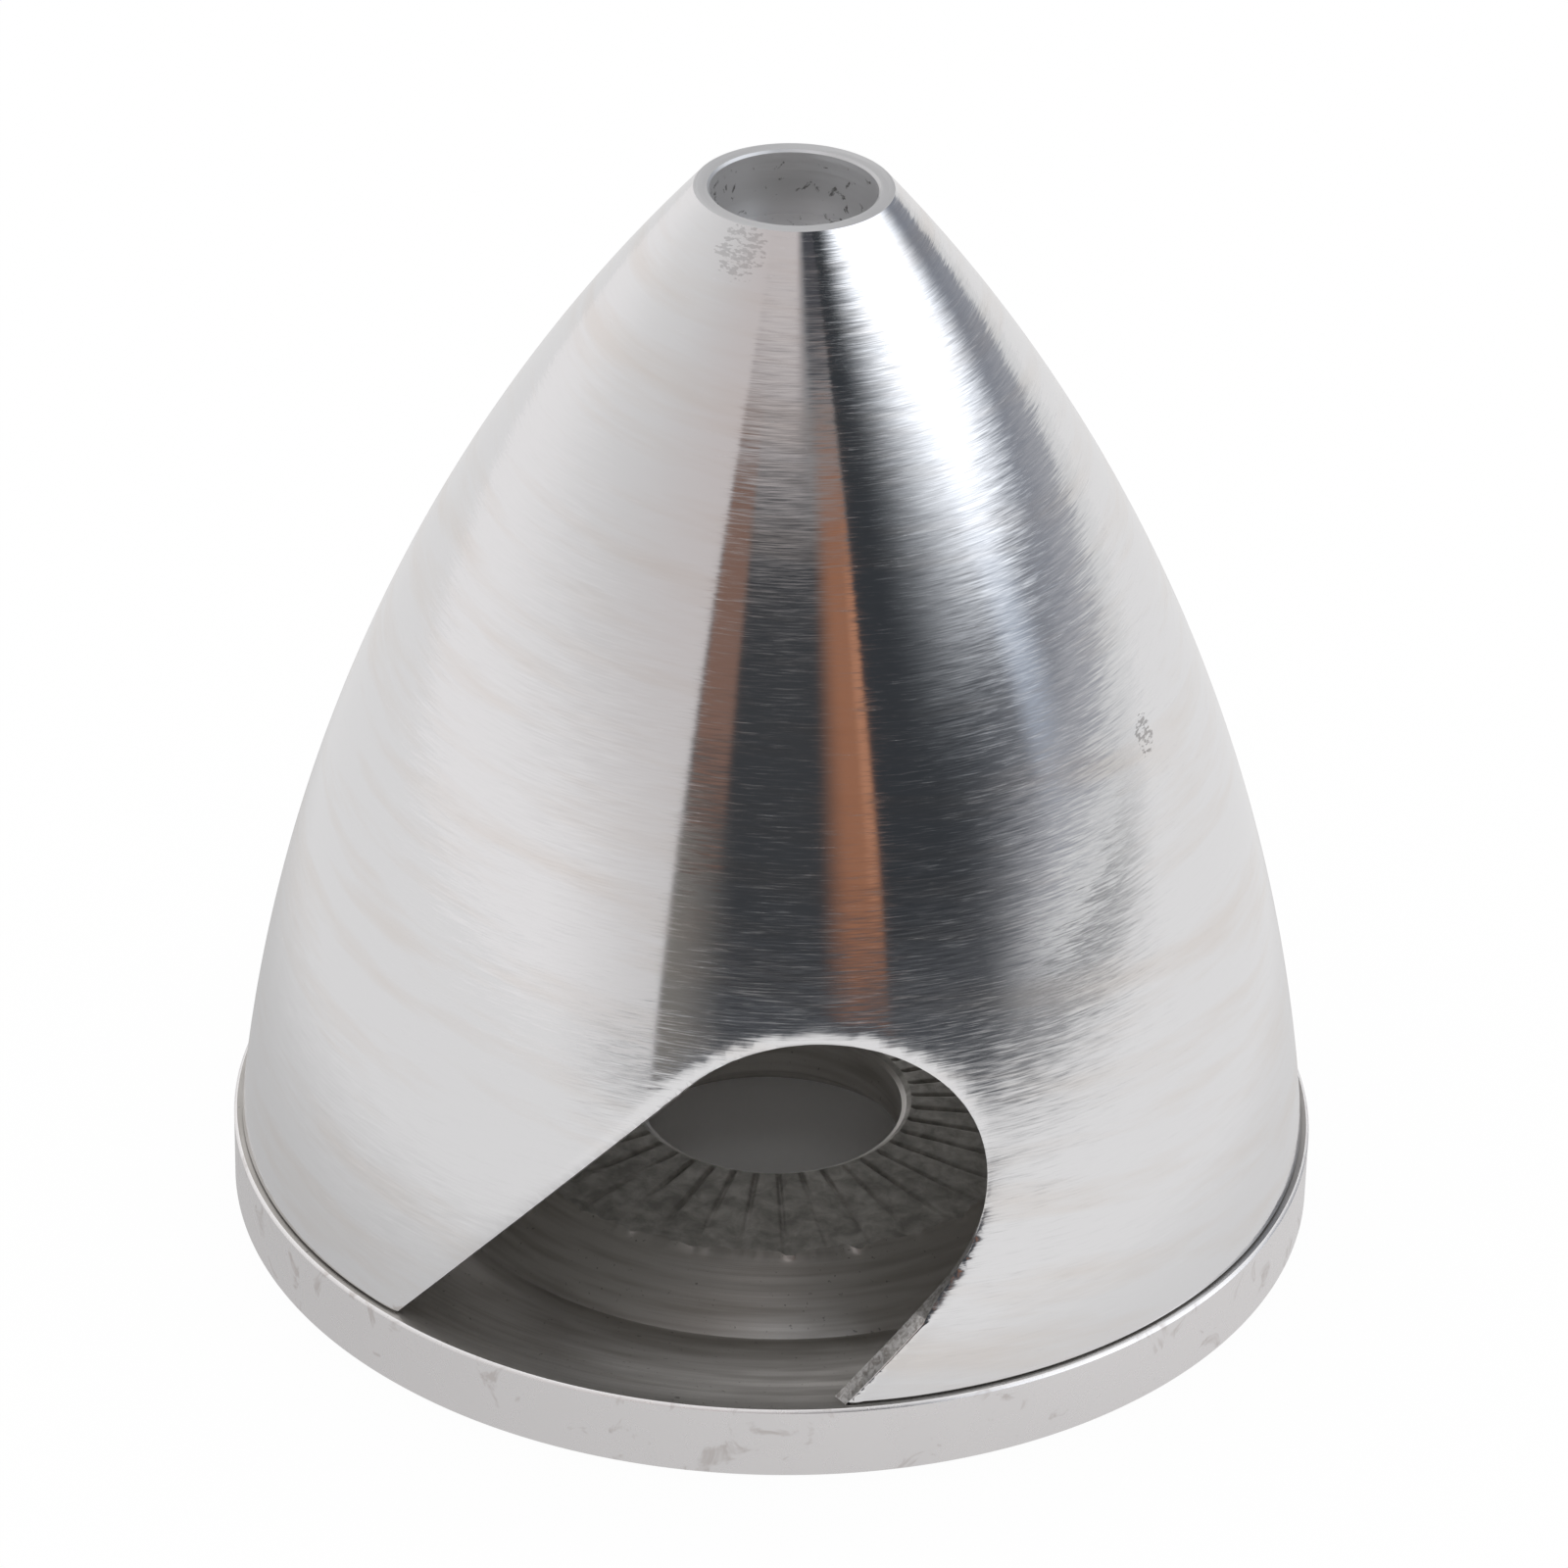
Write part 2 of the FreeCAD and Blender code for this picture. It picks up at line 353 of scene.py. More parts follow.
def wornPatch(tree, turned, wear, color):
    # specks or dashes gathered round one spot of the surface, in mm
    away = addNode(tree, "ShaderNodeVectorMath", {1: [part * mm for part in wear["at"]]},
                   {0: turned["place"]}, operation="SUBTRACT")
    unit = addNode(tree, "ShaderNodeVectorMath", {1: [1 / (part * mm) for part in wear["reach"]]},
                   {0: away.outputs[0]}, operation="MULTIPLY")
    reach = addNode(tree, "ShaderNodeVectorMath", {}, {0: unit.outputs[0]}, operation="LENGTH")
    inside = addNode(tree, "ShaderNodeMapRange",
                     {"From Min": cone["wearCore"], "From Max": 1.0,
                      "To Min": wear["share"], "To Max": 0.0},
                     {"Value": reach.outputs["Value"]})
    dashes = marks(tree, turned, wear["long"], wear["wide"])
    shown = addNode(tree, "ShaderNodeMath", {}, {0: inside.outputs["Result"], 1: dashes},
                    operation="MULTIPLY")
    start = wear["from"] * wear["share"]
    stop = start + cone["wearSoft"] * wear["share"]
    return mottle(tree, shown.outputs[0], start, stop, color, "#5C5755", wear["share"])


def polishedAluminium():
    # Aluminium turned, then polished on the lathe: it mirrors along the marks and blurs across them
    material, tree = newMaterial("polishedAluminium")
    turned = turnedPattern(tree)
    streaks = marks(tree, turned, 2.0, 0.10, (0.04, -0.03))
    cross = marks(tree, turned, 1.6, 0.13, (-0.06, 0.05))
    lines = marks(tree, turned, 9, 0.07, detail=1)
    scratches = marks(tree, turned, 1.8, 0.09, (0.02, 0.05), 3)
    haze = marks(tree, turned, 16, 2.5, (0.15, 0.1), 3)
    normal = tippedNormal(tree, turned, [(streaks, 0.14), (cross, 0.10), (lines, 0.06)])
    even = addNode(tree, "ShaderNodeMapRange",
                   {"From Min": 0.35, "From Max": 0.65, "To Min": 0.08, "To Max": 0.11}, {"Value": haze})
    torn = addNode(tree, "ShaderNodeMapRange", {"From Min": 0.52, "From Max": 0.78, "To Max": 0.20},
                   {"Value": scratches})
    rough = addNode(tree, "ShaderNodeMath", {}, {0: even.outputs["Result"], 1: torn.outputs["Result"]})
    color = mottle(tree, haze, 0.48, 0.72, "#F1F1F2", "#E9E2DC", 0.55)
    # the seam at the foot is dark: a band of painted shade just above it
    foot = coneLow.z
    color = mottle(tree, turned["height"], foot + 0.10 * mm, foot + 0.16 * mm, "#4A4744", color)
    for wear in cone["wear"]:
        color = wornPatch(tree, turned, wear, color)
    metalFinish(tree, {"Anisotropic": 0.8},
                {"Base Color": color, "Roughness": rough.outputs[0], "Normal": normal,
                 "Tangent": turned["across"]})
    return material


def noseAluminium():
    # Faced off square and not polished: flat grey, with fine rings and a few dark specks
    material, tree = newMaterial("facedAluminium")
    turned = turnedPattern(tree)
    normal = tippedNormal(tree, turned, [(marks(tree, turned, 8, 0.30, (0.02, 0.0)), 0.45),
                                         (marks(tree, turned, 3, 0.09), 0.25)])
    blots = addNode(tree, "ShaderNodeTexNoise",
                    {"Scale": 1 / (0.7 * mm), "Detail": 4, "Roughness": 0.6, "Distortion": 0.6},
                    {"Vector": turned["place"]})
    # none on the ring itself
    top = coneHigh.z
    below = addNode(tree, "ShaderNodeMapRange",
                    {"From Min": top - 0.5 * mm, "From Max": top - 0.2 * mm, "To Min": 1.0, "To Max": 0.0},
                    {"Value": turned["height"]})
    spots = addNode(tree, "ShaderNodeMath", {}, {0: below.outputs["Result"], 1: blots.outputs["Fac"]},
                    operation="MULTIPLY")
    color = mottle(tree, spots.outputs[0], 0.61, 0.67, "#DADADB", "#5E5C5A", 0.8)
    metalFinish(tree, {"Metallic": 0.75, "Anisotropic": 0.4, "Roughness": 0.40},
                {"Base Color": color, "Normal": normal, "Tangent": turned["across"]})
    return material


def boredAluminium():
    # Inside of the cone, left as it was bored, with a dull film
    material, tree = newMaterial("boredAluminium")
    turned = turnedPattern(tree)
    color = mottle(tree, marks(tree, turned, 12, 2.5), 0.35, 0.65, "#B4B1AD", "#CBC8C3")
    normal = tippedNormal(tree, turned, [(marks(tree, turned, 20, 0.4), 0.35)])
    metalFinish(tree, {"Metallic": 0.6, "Anisotropic": 0.4, "Roughness": 0.5},
                {"Base Color": color, "Normal": normal, "Tangent": turned["across"]})
    return material


def milledAluminium():
    # Wall of the blade cut-outs, milled through and filed: grey, with torn dark spots
    material, tree = newMaterial("milledAluminium")
    place = addNode(tree, "ShaderNodeTexCoord").outputs["Object"]
    tears = addNode(tree, "ShaderNodeTexNoise",
                    {"Scale": 1 / (0.3 * mm), "Detail": 4, "Roughness": 0.6, "Distortion": 0.6},
                    {"Vector": place})
    color = mottle(tree, tears.outputs["Fac"], 0.42, 0.60, "#CAC8C7", "#97938F")
    metalFinish(tree, {"Metallic": 0.75, "Roughness": 0.30}, {"Base Color": color})
    return material


def turnedAluminium():
    # Aluminium as it leaves the lathe: open turning marks, duller than the cone
    material, tree = newMaterial("turnedAluminium")
    turned = turnedPattern(tree)
    wide = marks(tree, turned, 9, 1.0)
    normal = tippedNormal(tree, turned, [(marks(tree, turned, 60, 0.22), 0.20),
                                         (marks(tree, turned, 12, 0.08, (0.01, 0.01), 1), 0.12)])
    rough = addNode(tree, "ShaderNodeMapRange",
                    {"From Min": 0.35, "From Max": 0.65, "To Min": 0.30, "To Max": 0.42}, {"Value": wide})
    pits = addNode(tree, "ShaderNodeTexNoise", {"Scale": 1 / (0.35 * mm), "Detail": 2, "Roughness": 0.6},
                   {"Vector": turned["place"]})
    color = mottle(tree, wide, 0.42, 0.68, "#D8D5D1", "#B4B0AA", 0.8)
    color = mottle(tree, pits.outputs["Fac"], 0.68, 0.74, color, "#55524E", 0.5)
    # the outer slope of the dish is cleaner than the inner one
    dish = plate["dish"] * mm
    clean = addNode(tree, "ShaderNodeMapRange",
                    {"From Min": dish, "From Max": dish + 0.3 * mm, "To Min": 0.78, "To Max": 0.96},
                    {"Value": turned["radius"]})
    metalFinish(tree, {"Anisotropic": 0.6},
                {"Metallic": clean.outputs["Result"], "Base Color": color,
                 "Roughness": rough.outputs["Result"], "Normal": normal, "Tangent": turned["across"]})
    return material


def satinAluminium():
    # Edge of the backplate: turned fine and handled, so it is satin with a few greasy marks
    material, tree = newMaterial("satinAluminium")
    turned = turnedPattern(tree)
    smears = addNode(tree, "ShaderNodeTexNoise",
                     {"Scale": 1 / (2.2 * mm), "Detail": 4, "Roughness": 0.6, "Distortion": 0.8},
                     {"Vector": turned["place"]}).outputs["Fac"]
    rough = addNode(tree, "ShaderNodeMapRange",
                    {"From Min": 0.4, "From Max": 0.7, "To Min": 0.24, "To Max": 0.34}, {"Value": smears})
    color = mottle(tree, smears, 0.60, 0.68, "#F3F1F1", "#C4BBB6", 0.5)
    normal = tippedNormal(tree, turned, [(marks(tree, turned, 6, 0.10), 0.02)])
    # the narrow land round the cone has a dull film
    land = coneLow.z
    film = addNode(tree, "ShaderNodeMapRange",
                   {"From Min": land - 0.14 * mm, "From Max": land - 0.02 * mm,
                    "To Min": 1.0, "To Max": 0.15},
                   {"Value": turned["height"]})
    metalFinish(tree, {"Anisotropic": 0.5},
                {"Metallic": film.outputs["Result"], "Base Color": color,
                 "Roughness": rough.outputs["Result"], "Normal": normal, "Tangent": turned["across"]})
    return material


def etchedAluminium():
    # Drive face: pressed and etched, with dark mottling between the serrations
    material, tree = newMaterial("etchedAluminium")
    place = addNode(tree, "ShaderNodeTexCoord").outputs["Object"]
    coarse = addNode(tree, "ShaderNodeTexNoise",
                     {"Scale": 1 / (1.1 * mm), "Detail": 4, "Roughness": 0.6, "Distortion": 0.4},
                     {"Vector": place})
    fine = addNode(tree, "ShaderNodeTexNoise", {"Scale": 1 / (0.25 * mm), "Detail": 3, "Roughness": 0.6},
                   {"Vector": place})
    color = mottle(tree, coarse.outputs["Fac"], 0.35, 0.65, "#CDCBC6", "#9E9C97")
    bump = addNode(tree, "ShaderNodeBump", {"Strength": 0.35, "Distance": 0.06 * mm},
                   {"Height": fine.outputs["Fac"]})
    metalFinish(tree, {"Metallic": 0.7, "Roughness": 0.52}, {"Base Color": color, "Normal": bump.outputs[0]})
    return material


# The cone, in mm. Heights are from the cone's foot.
cone = {
    "height": (coneHigh.z - coneLow.z) / mm,
    "foot": (coneHigh.x - coneLow.x) / 2 / mm,
    "lean": 5.7,          # degrees, outside from the axis at the foot
    "wall": 0.8,
    "footBreak": 0.12,
    "noseRing": 5.0,      # radius of the flat ring at the nose
    "noseRound": 0.12,
    "pocket": 4.2,        # radius
    "pocketDepth": 3.5,
    "screwHole": 2.65,    # radius
    "floor": 3.0,
    "wear": [             # dark specks: where, how far they spread, and the size of one
        {"at": (-0.6, -5.8, 56.6), "reach": (2.6, 2.6, 3.0), "share": 0.26,
         "long": 0.45, "wide": 0.3, "from": 0.46},
        {"at": (20.4, -3.5, 32.6), "reach": (1.0, 1.6, 4.0), "share": 0.5,
         "long": 0.5, "wide": 0.2, "from": 0.47},
    ],
    "wearCore": 0.4,      # share of the reach inside which the specks are at their thickest
    "wearSoft": 0.07,     # softness of a speck's edge
    "crisp": 35,          # degrees, edges sharper than this stay crisp
    "turns": 320,         # faces round the cone
    "rows": 110,          # faces up the outside
    "innerRows": 24,
}


def outsideArc():
    # centre radius, centre height and radius of the arc that the outside follows
    run = cone["foot"] - cone["noseRing"]
    chord = math.hypot(run, cone["height"])
    lean = math.radians(cone["lean"])
    radius = chord / (2 * math.sin(math.atan2(run, cone["height"]) - lean))
    return cone["foot"] - radius * math.cos(lean), -radius * math.sin(lean), radius


arc = outsideArc()


def radiusAt(height, depth=0):
    # radius of the outside at a height, or of a surface that lies this deep under it
    return arc[0] + math.sqrt((arc[2] - depth) ** 2 - (height - arc[1]) ** 2)


def drawOn(bm, tip, corners):
    # carries a section on through (radius, height) corners in mm
    for radius, height in corners:
        tip = bmesh.ops.extrude_vert_indiv(bm, verts=[tip])["verts"][0]
        tip.co = Vector((radius, 0, height)) * mm
    return tip


def sweepOn(bm, tip, centre, angle, steps):
    # carries a section on along an arc
    bmesh.ops.spin(bm, geom=[tip], cent=centre, axis=(0, -1, 0), angle=angle, steps=steps)
    bm.verts.ensure_lookup_table()
    return bm.verts[-1]


def turnRound(bm, steps):
    bmesh.ops.spin(bm, geom=bm.verts[:] + bm.edges[:], cent=(0, 0, 0), axis=(0, 0, 1), angle=math.tau,
                   steps=steps, use_merge=True)
    bmesh.ops.remove_doubles(bm, verts=bm.verts, dist=0.001 * mm)
    bmesh.ops.recalc_face_normals(bm, faces=bm.faces)


def newObject(name, bm):
    mesh = bpy.data.meshes.new(name)
    bm.to_mesh(mesh)
    bm.free()
    piece = bpy.data.objects.new(name, mesh)
    bpy.context.scene.collection.objects.link(piece)
    return piece


def turnedShell():
    # Half section from the foot up the outside, through the nose and down the inside, turned round
    base = coneLow.z / mm
    centre = Vector((arc[0], 0, arc[1] + base)) * mm
    bm = bmesh.new()
    foot = radiusAt(cone["footBreak"])
    start = bm.verts.new(Vector((foot, 0, base + cone["footBreak"])) * mm)
    sweep = math.asin((cone["height"] - arc[1]) / arc[2]) - math.asin((cone["footBreak"] - arc[1]) / arc[2])
    tip = sweepOn(bm, start, centre, sweep, cone["rows"])
    top = base + cone["height"]
    floorTop = top - cone["pocketDepth"]
    roof = floorTop - cone["floor"]
    tip = drawOn(bm, tip, [
        (cone["noseRing"] - cone["noseRound"], top),
        (cone["pocket"] + cone["noseRound"], top),
        (cone["pocket"], top - cone["noseRound"]),
        (cone["pocket"], floorTop + cone["noseRound"]),
        (cone["pocket"], floorTop),
        (cone["screwHole"], floorTop),
        (cone["screwHole"], roof),
        (radiusAt(roof - base, cone["wall"]), roof),
    ])
    inner = arc[2] - cone["wall"]
    sweep = math.asin(-arc[1] / inner) - math.asin((roof - base - arc[1]) / inner)
    tip = sweepOn(bm, tip, centre, sweep, cone["innerRows"])
    tip = drawOn(bm, tip, [(foot - cone["footBreak"], base)])
    bm.edges.new((tip, start))
    turnRound(bm, cone["turns"])
    return newObject("coneShell", bm)


# The blade cut-outs, in mm: slanted slots with a round upper end. Heights are from the cone's foot.
cutOut = {
    "count": 2,
    "width": 17.46,       # at the gauge distance from the axis
    "gauge": 26.0,
    "start": 6.5,         # distance from the axis at which the cutter starts
    "slant": 48.0,        # degrees from level
    "relief": 10.0,       # degrees that each side narrows inwards
    "side": 10.5,         # centre of the round end, sideways
    "rise": 10.8,         # the same centre, above the foot
    "roundFaces": 64,
    "round": 0.22,        # radius left on the outer edge by polishing
    "fade": 1.05,         # the outside falls away towards the edge from this far off
    "fall": 0.12,         # and by this much at the edge
    "ragged": 0.012,      # how far the wall wanders
    "raggedWaves": 1.6,   # waves of that in a mm
    "nicks": [            # in the right-hand wall: height, length, depth
        (5.9, 0.5, 0.06),
        (7.7, 0.4, 0.04),
    ],
    "filed": 0.42,        # low down that wall is filed back by this much at the outside
    "filedTop": 5.7,      # the filing starts here and is full this much lower:
    "filedRun": 1.2,
    "filedReach": 1.0,    # filing and nicks fade out this far from the wall
    "still": 0.95,        # faces deeper than this share of the wall stay where they are
    "faceSizes": (0.4, 0.2, 0.1),   # the faces at the edge are split until they are this small
    "wallSlack": 0.05,    # a face this near the slot's side belongs to its wall
    "skin": 0.1,          # share of the wall that still counts as the outside
    "merge": 0.0005,      # edges shorter than this are closed up
}


def slotHalf(distance):
    return cutOut["width"] / 2 + (distance - cutOut["gauge"]) * math.tan(math.radians(cutOut["relief"]))


def slotAxis():
    slant = math.radians(cutOut["slant"])
    return Vector((cutOut["side"], 0, cutOut["rise"])), Vector((math.cos(slant), 0, math.sin(slant)))


def fromSlotLine(point):
    # nearest point of the slot's middle line, in the plane that faces the slot, and the way out from it
    end, along = slotAxis()
    flat = Vector((point.x, 0, point.z))
    reach = min(0, (flat - end).dot(along))
    nearest = end + along * reach
    return nearest, flat - nearest


def slotCutter(number):
    end, along = slotAxis()
    across = Vector((-along.z, 0, along.x))
    outer = cone["foot"] + cutOut["start"]
    length = (cutOut["rise"] + cone["foot"]) / along.z
    bm = bmesh.new()
    start = bm.verts.new(end + across * slotHalf(outer) + Vector((0, -outer, 0)))
    bmesh.ops.spin(bm, geom=[start], cent=end, axis=(0, 1, 0), angle=math.pi, steps=cutOut["roundFaces"])
    bm.verts.ensure_lookup_table()
    for tip in (bm.verts[0], bm.verts[-1]):
        grown = bmesh.ops.extrude_vert_indiv(bm, verts=[tip])["verts"][0]
        grown.co = tip.co - along * length
    bmesh.ops.contextual_create(bm, geom=bm.verts[-2:])
    bmesh.ops.contextual_create(bm, geom=bm.edges[:])
    grown = bmesh.ops.extrude_face_region(bm, geom=bm.faces[:])
    for vert in [item for item in grown["geom"] if isinstance(item, bmesh.types.BMVert)]:
        nearest, out = fromSlotLine(vert.co)
        vert.co = nearest + out.normalized() * slotHalf(cutOut["start"])
        vert.co.y = -cutOut["start"]
    bmesh.ops.translate(bm, verts=bm.verts, vec=(0, 0, coneLow.z / mm))
    bmesh.ops.scale(bm, verts=bm.verts, vec=(mm, mm, mm))
    bmesh.ops.rotate(bm, verts=bm.verts, cent=(0, 0, 0), matrix=slotTurn(number))
    bmesh.ops.recalc_face_normals(bm, faces=bm.faces)
    return newObject("slotCutter", bm)


def slotTurn(number):
    return Matrix.Rotation(math.tau * number / cutOut["count"], 3, "Z")


def cutSlots(shell):
    cutters = [slotCutter(number) for number in range(cutOut["count"])]
    for cutter in cutters:
        cut = shell.modifiers.new("cut", "BOOLEAN")
        cut.operation = "DIFFERENCE"
        cut.solver = "EXACT"
        cut.object = cutter
    finished = shell.evaluated_get(bpy.context.evaluated_depsgraph_get())
    bm = bmesh.new()
    bm.from_mesh(bpy.data.meshes.new_from_object(finished))
    for piece in [shell] + cutters:
        bpy.data.objects.remove(piece)
    return bm


def slotPlace(point, number):
    # the point in mm from the foot, turned so that its slot faces -Y
    turned = slotTurn(-number) @ (point / mm)
    turned.z -= coneLow.z / mm
    return turned


def depthAt(point):
    # how deep a point lies under the outside
    return arc[2] - math.hypot(math.hypot(point.x, point.y) - arc[0], point.z - arc[1])


def outAt(point):
    # how far a point lies out of the slot's wall
    return fromSlotLine(point)[1].length - slotHalf(-point.y)


def nearSlot(point, reach):
    # quick test before the exact ones
    if point.y > -cutOut["start"] or point.z > cutOut["rise"] + cutOut["width"]:
        return False
    return outAt(point) < reach


def refineEdges(bm, number):
    # finer faces along the outer edge of the slot
    reach = cutOut["round"] * 2
    for size in cutOut["faceSizes"]:
        near = set()
        for vert in bm.verts:
            point = slotPlace(vert.co, number)
            if nearSlot(point, reach) and depthAt(point) < reach:
                near.add(vert)
        long = [e for e in bm.edges if e.verts[0] in near and e.verts[1] in near
                and e.calc_length() > size * mm]
        bmesh.ops.subdivide_edges(bm, edges=long, cuts=1)
        bmesh.ops.triangulate(bm, faces=[f for f in bm.faces if len(f.verts) > 4])


def rolled(out, depth):
    # where a point near the corner goes when the corner is rolled over
    radius = cutOut["round"]
    sideways, down = radius - out, radius - depth
    if sideways > 0 and down > 0:
        reach = math.hypot(sideways, down)
        if reach > radius:
            out = radius - sideways * radius / reach
            depth = radius - down * radius / reach
    near = max(0, 1 - max(out, 0) / cutOut["fade"]) ** 3
    through = max(0, 1 - depth / cone["wall"])
    return out, depth + cutOut["fall"] * near * through


def nickAt(point):
    # how far the slot's wall is set back at a point
    out = fromSlotLine(point)[1]
    ragged = noise.noise(point * cutOut["raggedWaves"]) * cutOut["ragged"]
    if out.x < 0:
        return ragged
    filed = cutOut["filed"] * min(1, max(0, (cutOut["filedTop"] - point.z) / cutOut["filedRun"]))
    return ragged + filed + sum(depth * math.exp(-((point.z - height) / length) ** 4)
                                for height, length, depth in cutOut["nicks"])


def rollEdges(bm, number):
    # rolls the outer edge of the slot over and moves its wall by the filing and the nicks
    turnBack = slotTurn(number)
    for vert in bm.verts:
        point = slotPlace(vert.co, number)
        if not nearSlot(point, cutOut["fade"]):
            continue
        out, depth = outAt(point), depthAt(point)
        if depth > cone["wall"] * cutOut["still"] or out < -cutOut["round"]:
            continue
        newOut, newDepth = rolled(out, depth)
        near = max(0, 1 - abs(out) / cutOut["filedReach"])
        newOut += nickAt(point) * near * max(0, 1 - depth / cone["wall"])
        outward = fromSlotLine(point)[1].normalized()
        flat = Vector((point.x, point.y, 0))
        fromCentre = flat.normalized() * (flat.length - arc[0]) + Vector((0, 0, point.z - arc[1]))
        inward = -fromCentre.normalized()
        moved = outward * (newOut - out) + inward * (newDepth - depth)
        vert.co += turnBack @ moved * mm


def dropFolds(bm):
    # two faces on the same corners are a fold left by a cut
    faceOn, folds = {}, []
    for face in bm.faces:
        corners = frozenset(face.verts)
        if corners in faceOn:
            folds += [face, faceOn[corners]]
        faceOn[corners] = face
    bmesh.ops.delete(bm, geom=folds, context="FACES")


def finishFaces(bm, sharp):
    # smooth, with edges sharper than this many degrees left crisp
    for face in bm.faces:
        face.smooth = True
    for edge in bm.edges:
        edge.smooth = len(edge.link_faces) == 2 and edge.calc_face_angle(0) < math.radians(sharp)


def buildCone():
    bm = cutSlots(turnedShell())
    print("cut-outs made")
    for number in range(cutOut["count"]):
        refineEdges(bm, number)
    outside, inside, nose, cut = range(4)
    noseFrom = cone["height"] - cone["pocketDepth"] - 0.1   # just under the pocket's floor
    cutFrom = 0.02                                          # leaves out the foot itself
    for face in bm.faces:
        middle = face.calc_center_median()
        point = slotPlace(middle, 0)
        if math.hypot(point.x, point.y) < cone["noseRing"] and point.z > noseFrom:
            face.material_index = nose
            continue
        wall = False
        for number in range(cutOut["count"]):
            place = slotPlace(middle, number)
            if (abs(outAt(place)) < cutOut["wallSlack"] and place.y < 0
                    and cutFrom < point.z < cutOut["rise"] + cutOut["width"]):
                wall = True
        deep = depthAt(point) > cone["wall"] * cutOut["skin"]
        face.material_index = cut if wall and deep else inside if deep else outside
    for number in range(cutOut["count"]):
        rollEdges(bm, number)
    bmesh.ops.dissolve_degenerate(bm, edges=bm.edges, dist=cutOut["merge"] * mm)
    dropFolds(bm)
    finishFaces(bm, cone["crisp"])
    piece = newObject("cone", bm)
    for material in (polishedAluminium(), boredAluminium(), noseAluminium(), milledAluminium()):
        piece.data.materials.append(material)
    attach(piece, "root")
    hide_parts("spinner_cone")


# The backplate, in mm. Heights are from its rear face.
plate = {
    "rim": 28.5,          # radius
    "rimHeight": coneLow.z / mm,
    "rimBreak": 0.15,
    "land": 27.4,         # radius of the land's inner edge
    "dish": 18.7,         # radius of the bottom of the dish
    "web": 1.5,
    "face": 14.6,         # radius of the drive face
    "hub": 4.1,
    "bore": 6.9,          # radius
    "leadIn": 0.5,
    "leadDepth": 0.3,
    "relief": 1.3,
    "turns": 720,
    "rowHeight": 0.3,     # size of the faces across the drive face
    "serrations": 40,
    "grooveWidth": 0.17,  # half of it
    "grooveDepth": 0.24,
    "wear": 0.75,         # share of that depth left by wear, before the unevenness
    "wearLeast": 0.2,     # share left at the edge of the face
    "wearRun": 6,         # the grooves grow shallower over this distance from the edge
    "torn": 0.45,         # how far the edge of the drive face wanders
    "tornInside": 1.2,    # and how far inwards and outwards of it that reaches
    "tornOutside": 0.35,
    "tornLift": 0.05,     # height of the lumps there
    "crisp": 30,          # degrees, edges sharper than this stay crisp
}


def plateSection(bm):
    rim, hub, bore = plate["rim"], plate["hub"], plate["bore"]
    start = bm.verts.new(Vector((bore + plate["relief"], 0, 0)) * mm)
    tip = drawOn(bm, start, [
        (rim - plate["rimBreak"], 0),
        (rim, plate["rimBreak"]),
        (rim, plate["rimHeight"] - plate["rimBreak"]),
        (rim - plate["rimBreak"], plate["rimHeight"]),
        (plate["land"], plate["rimHeight"]),
        (plate["dish"], plate["web"]),
        (plate["face"], hub),
        (bore + plate["leadIn"], hub),
        (bore, hub - plate["leadDepth"]),
        (bore, plate["relief"]),
    ])
    bm.edges.new((tip, start))
    long = [e for e in bm.edges if max(v.co.x for v in e.verts) < (plate["dish"] + 0.1) * mm
            and min(v.co.z for v in e.verts) > 0]
    for edge in long:
        cuts = int(edge.calc_length() / mm / plate["rowHeight"])
        if cuts:
            bmesh.ops.subdivide_edges(bm, edges=[edge], cuts=cuts)


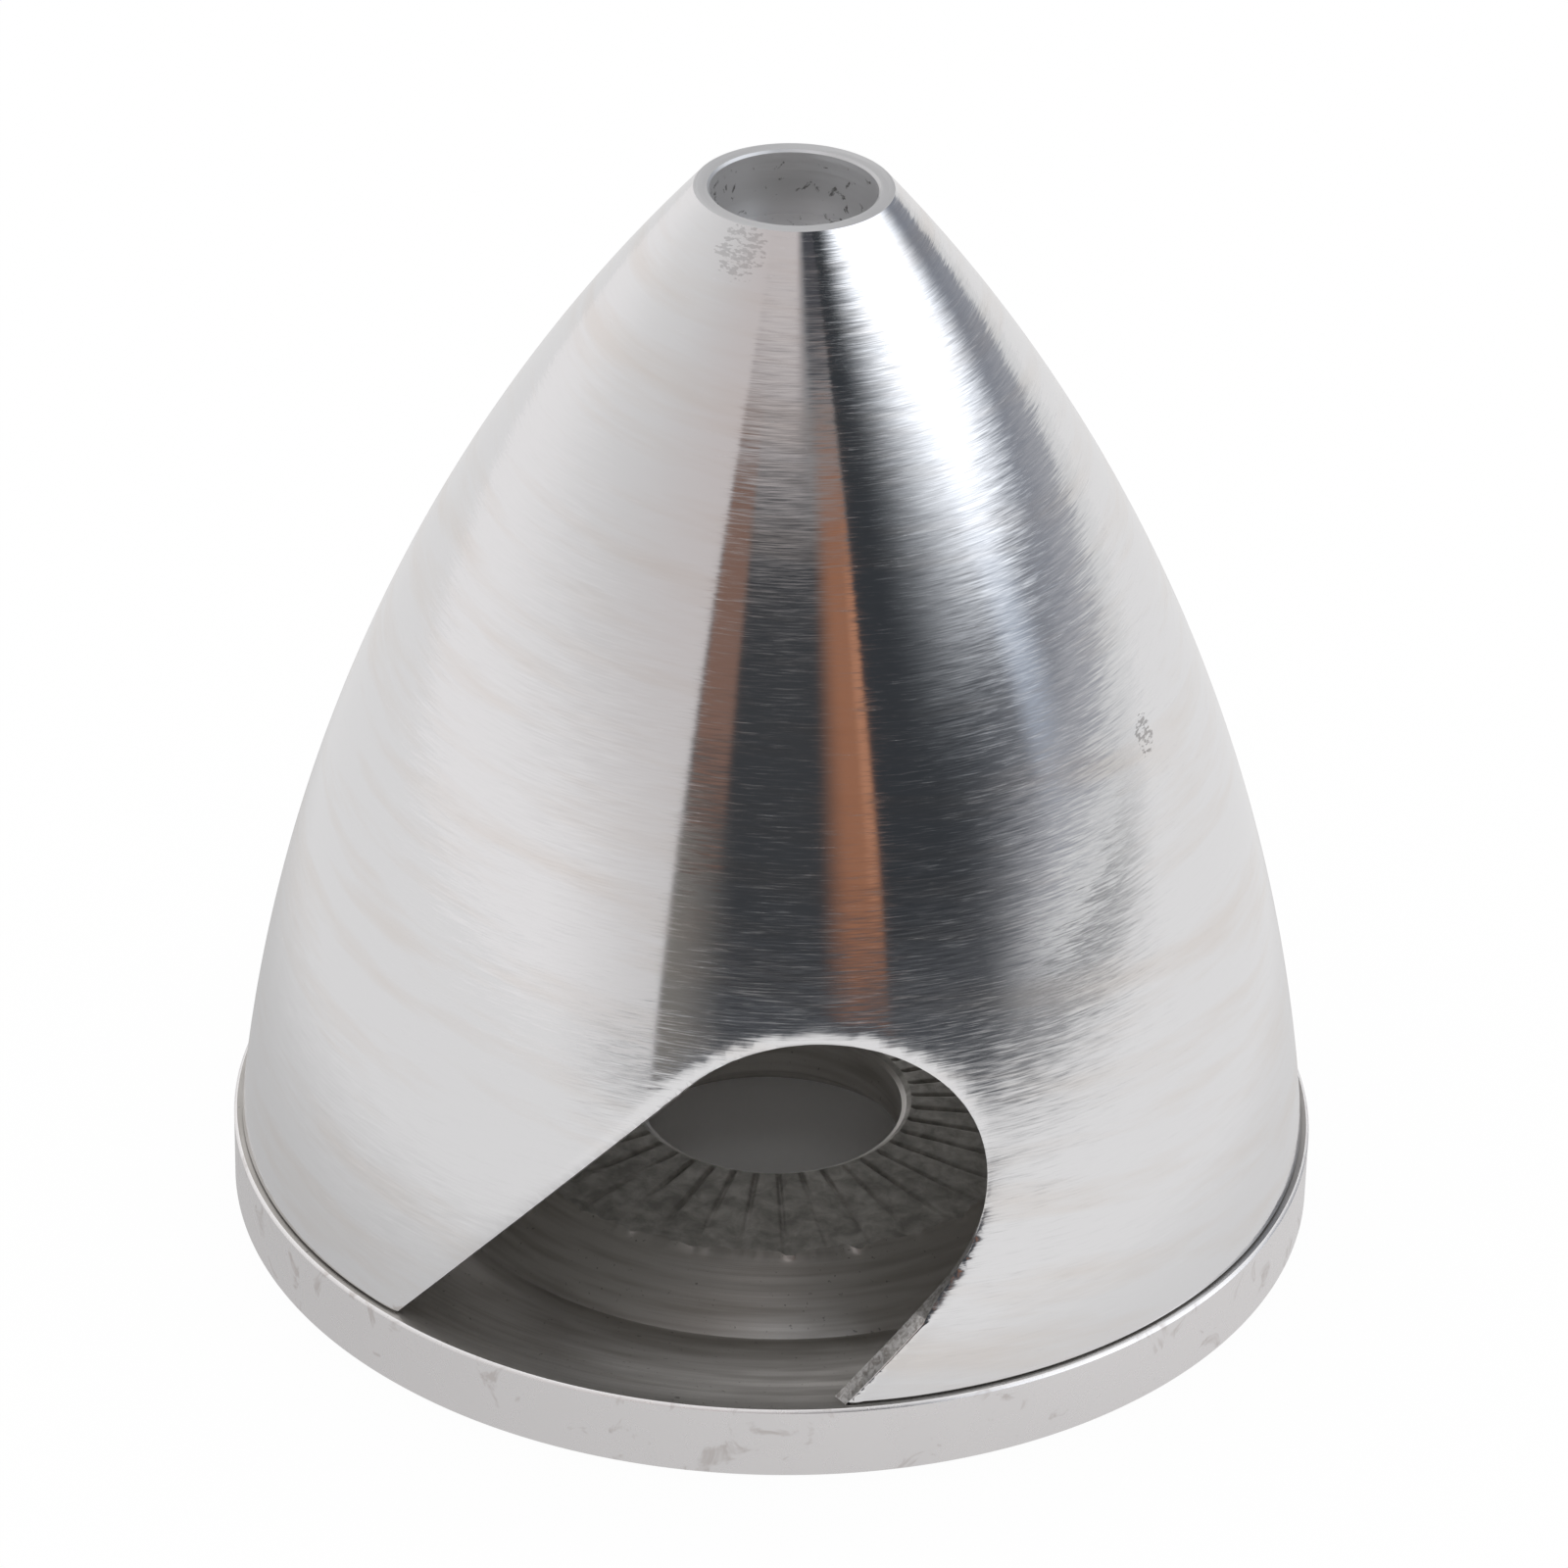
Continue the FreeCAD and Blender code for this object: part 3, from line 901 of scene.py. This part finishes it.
def serrate(bm):
    # presses the V grooves into the drive face and tears its outer edge
    pitch = math.tau / plate["serrations"]
    for vert in bm.verts:
        point = vert.co / mm
        radius = math.hypot(point.x, point.y)
        if point.z < plate["web"] or radius > plate["dish"] or radius < plate["bore"] - 0.01:
            continue
        angle = math.atan2(point.y, point.x)
        offset = abs((angle / pitch) % 1 - 0.5) * pitch * radius
        around = Vector((math.cos(angle), math.sin(angle), 0))
        rough = noise.noise(around * 9) + 0.6 * noise.noise(around * 31)   # coarse tears, then fine
        if radius < plate["face"] + 0.01:
            edge = max(0, 1 - (plate["face"] - radius) / plate["tornInside"])
        else:
            edge = max(0, 1 - (radius - plate["face"]) / plate["tornOutside"])
        shift = plate["torn"] * rough * edge
        level = point.z
        if plate["bore"] + plate["leadIn"] + 0.1 < radius < plate["face"] + 0.15:
            # each groove is worn in its own way, which changes slowly along it
            worn = plate["wear"] + noise.noise(Vector((round(angle / pitch - 0.5) * 1.7, radius / 4, 0)))
            fade = min(1, max(plate["wearLeast"], (plate["face"] + 0.4 - radius) / plate["wearRun"])) * worn
            level -= plate["grooveDepth"] * fade * max(0, 1 - offset / plate["grooveWidth"])
            level += plate["tornLift"] * noise.noise(point * 1.7) * edge
        vert.co = (around * (radius + shift) + Vector((0, 0, level))) * mm


def buildPlate():
    bm = bmesh.new()
    plateSection(bm)
    turnRound(bm, plate["turns"])
    rim, face, turned = range(3)
    for side in bm.faces:
        middle = side.calc_center_median() / mm
        radius = math.hypot(middle.x, middle.y)
        inFace = radius < plate["face"] and middle.z > plate["hub"] - plate["leadDepth"] * 0.4
        onRim = radius > cone["foot"] and middle.z > plate["rimBreak"] * 0.4
        side.material_index = face if inFace else rim if onRim else turned
    serrate(bm)
    finishFaces(bm, plate["crisp"])
    piece = newObject("plate", bm)
    for material in (satinAluminium(), etchedAluminium(), turnedAluminium()):
        piece.data.materials.append(material)
    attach(piece, "root")
    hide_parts("backplate")


placeCamera()
bpy.context.scene.view_settings.view_transform = "Standard"
buildStudio()
buildTable()
print("studio ready")
buildPlate()
print("backplate ready")
buildCone()
print("cone ready")
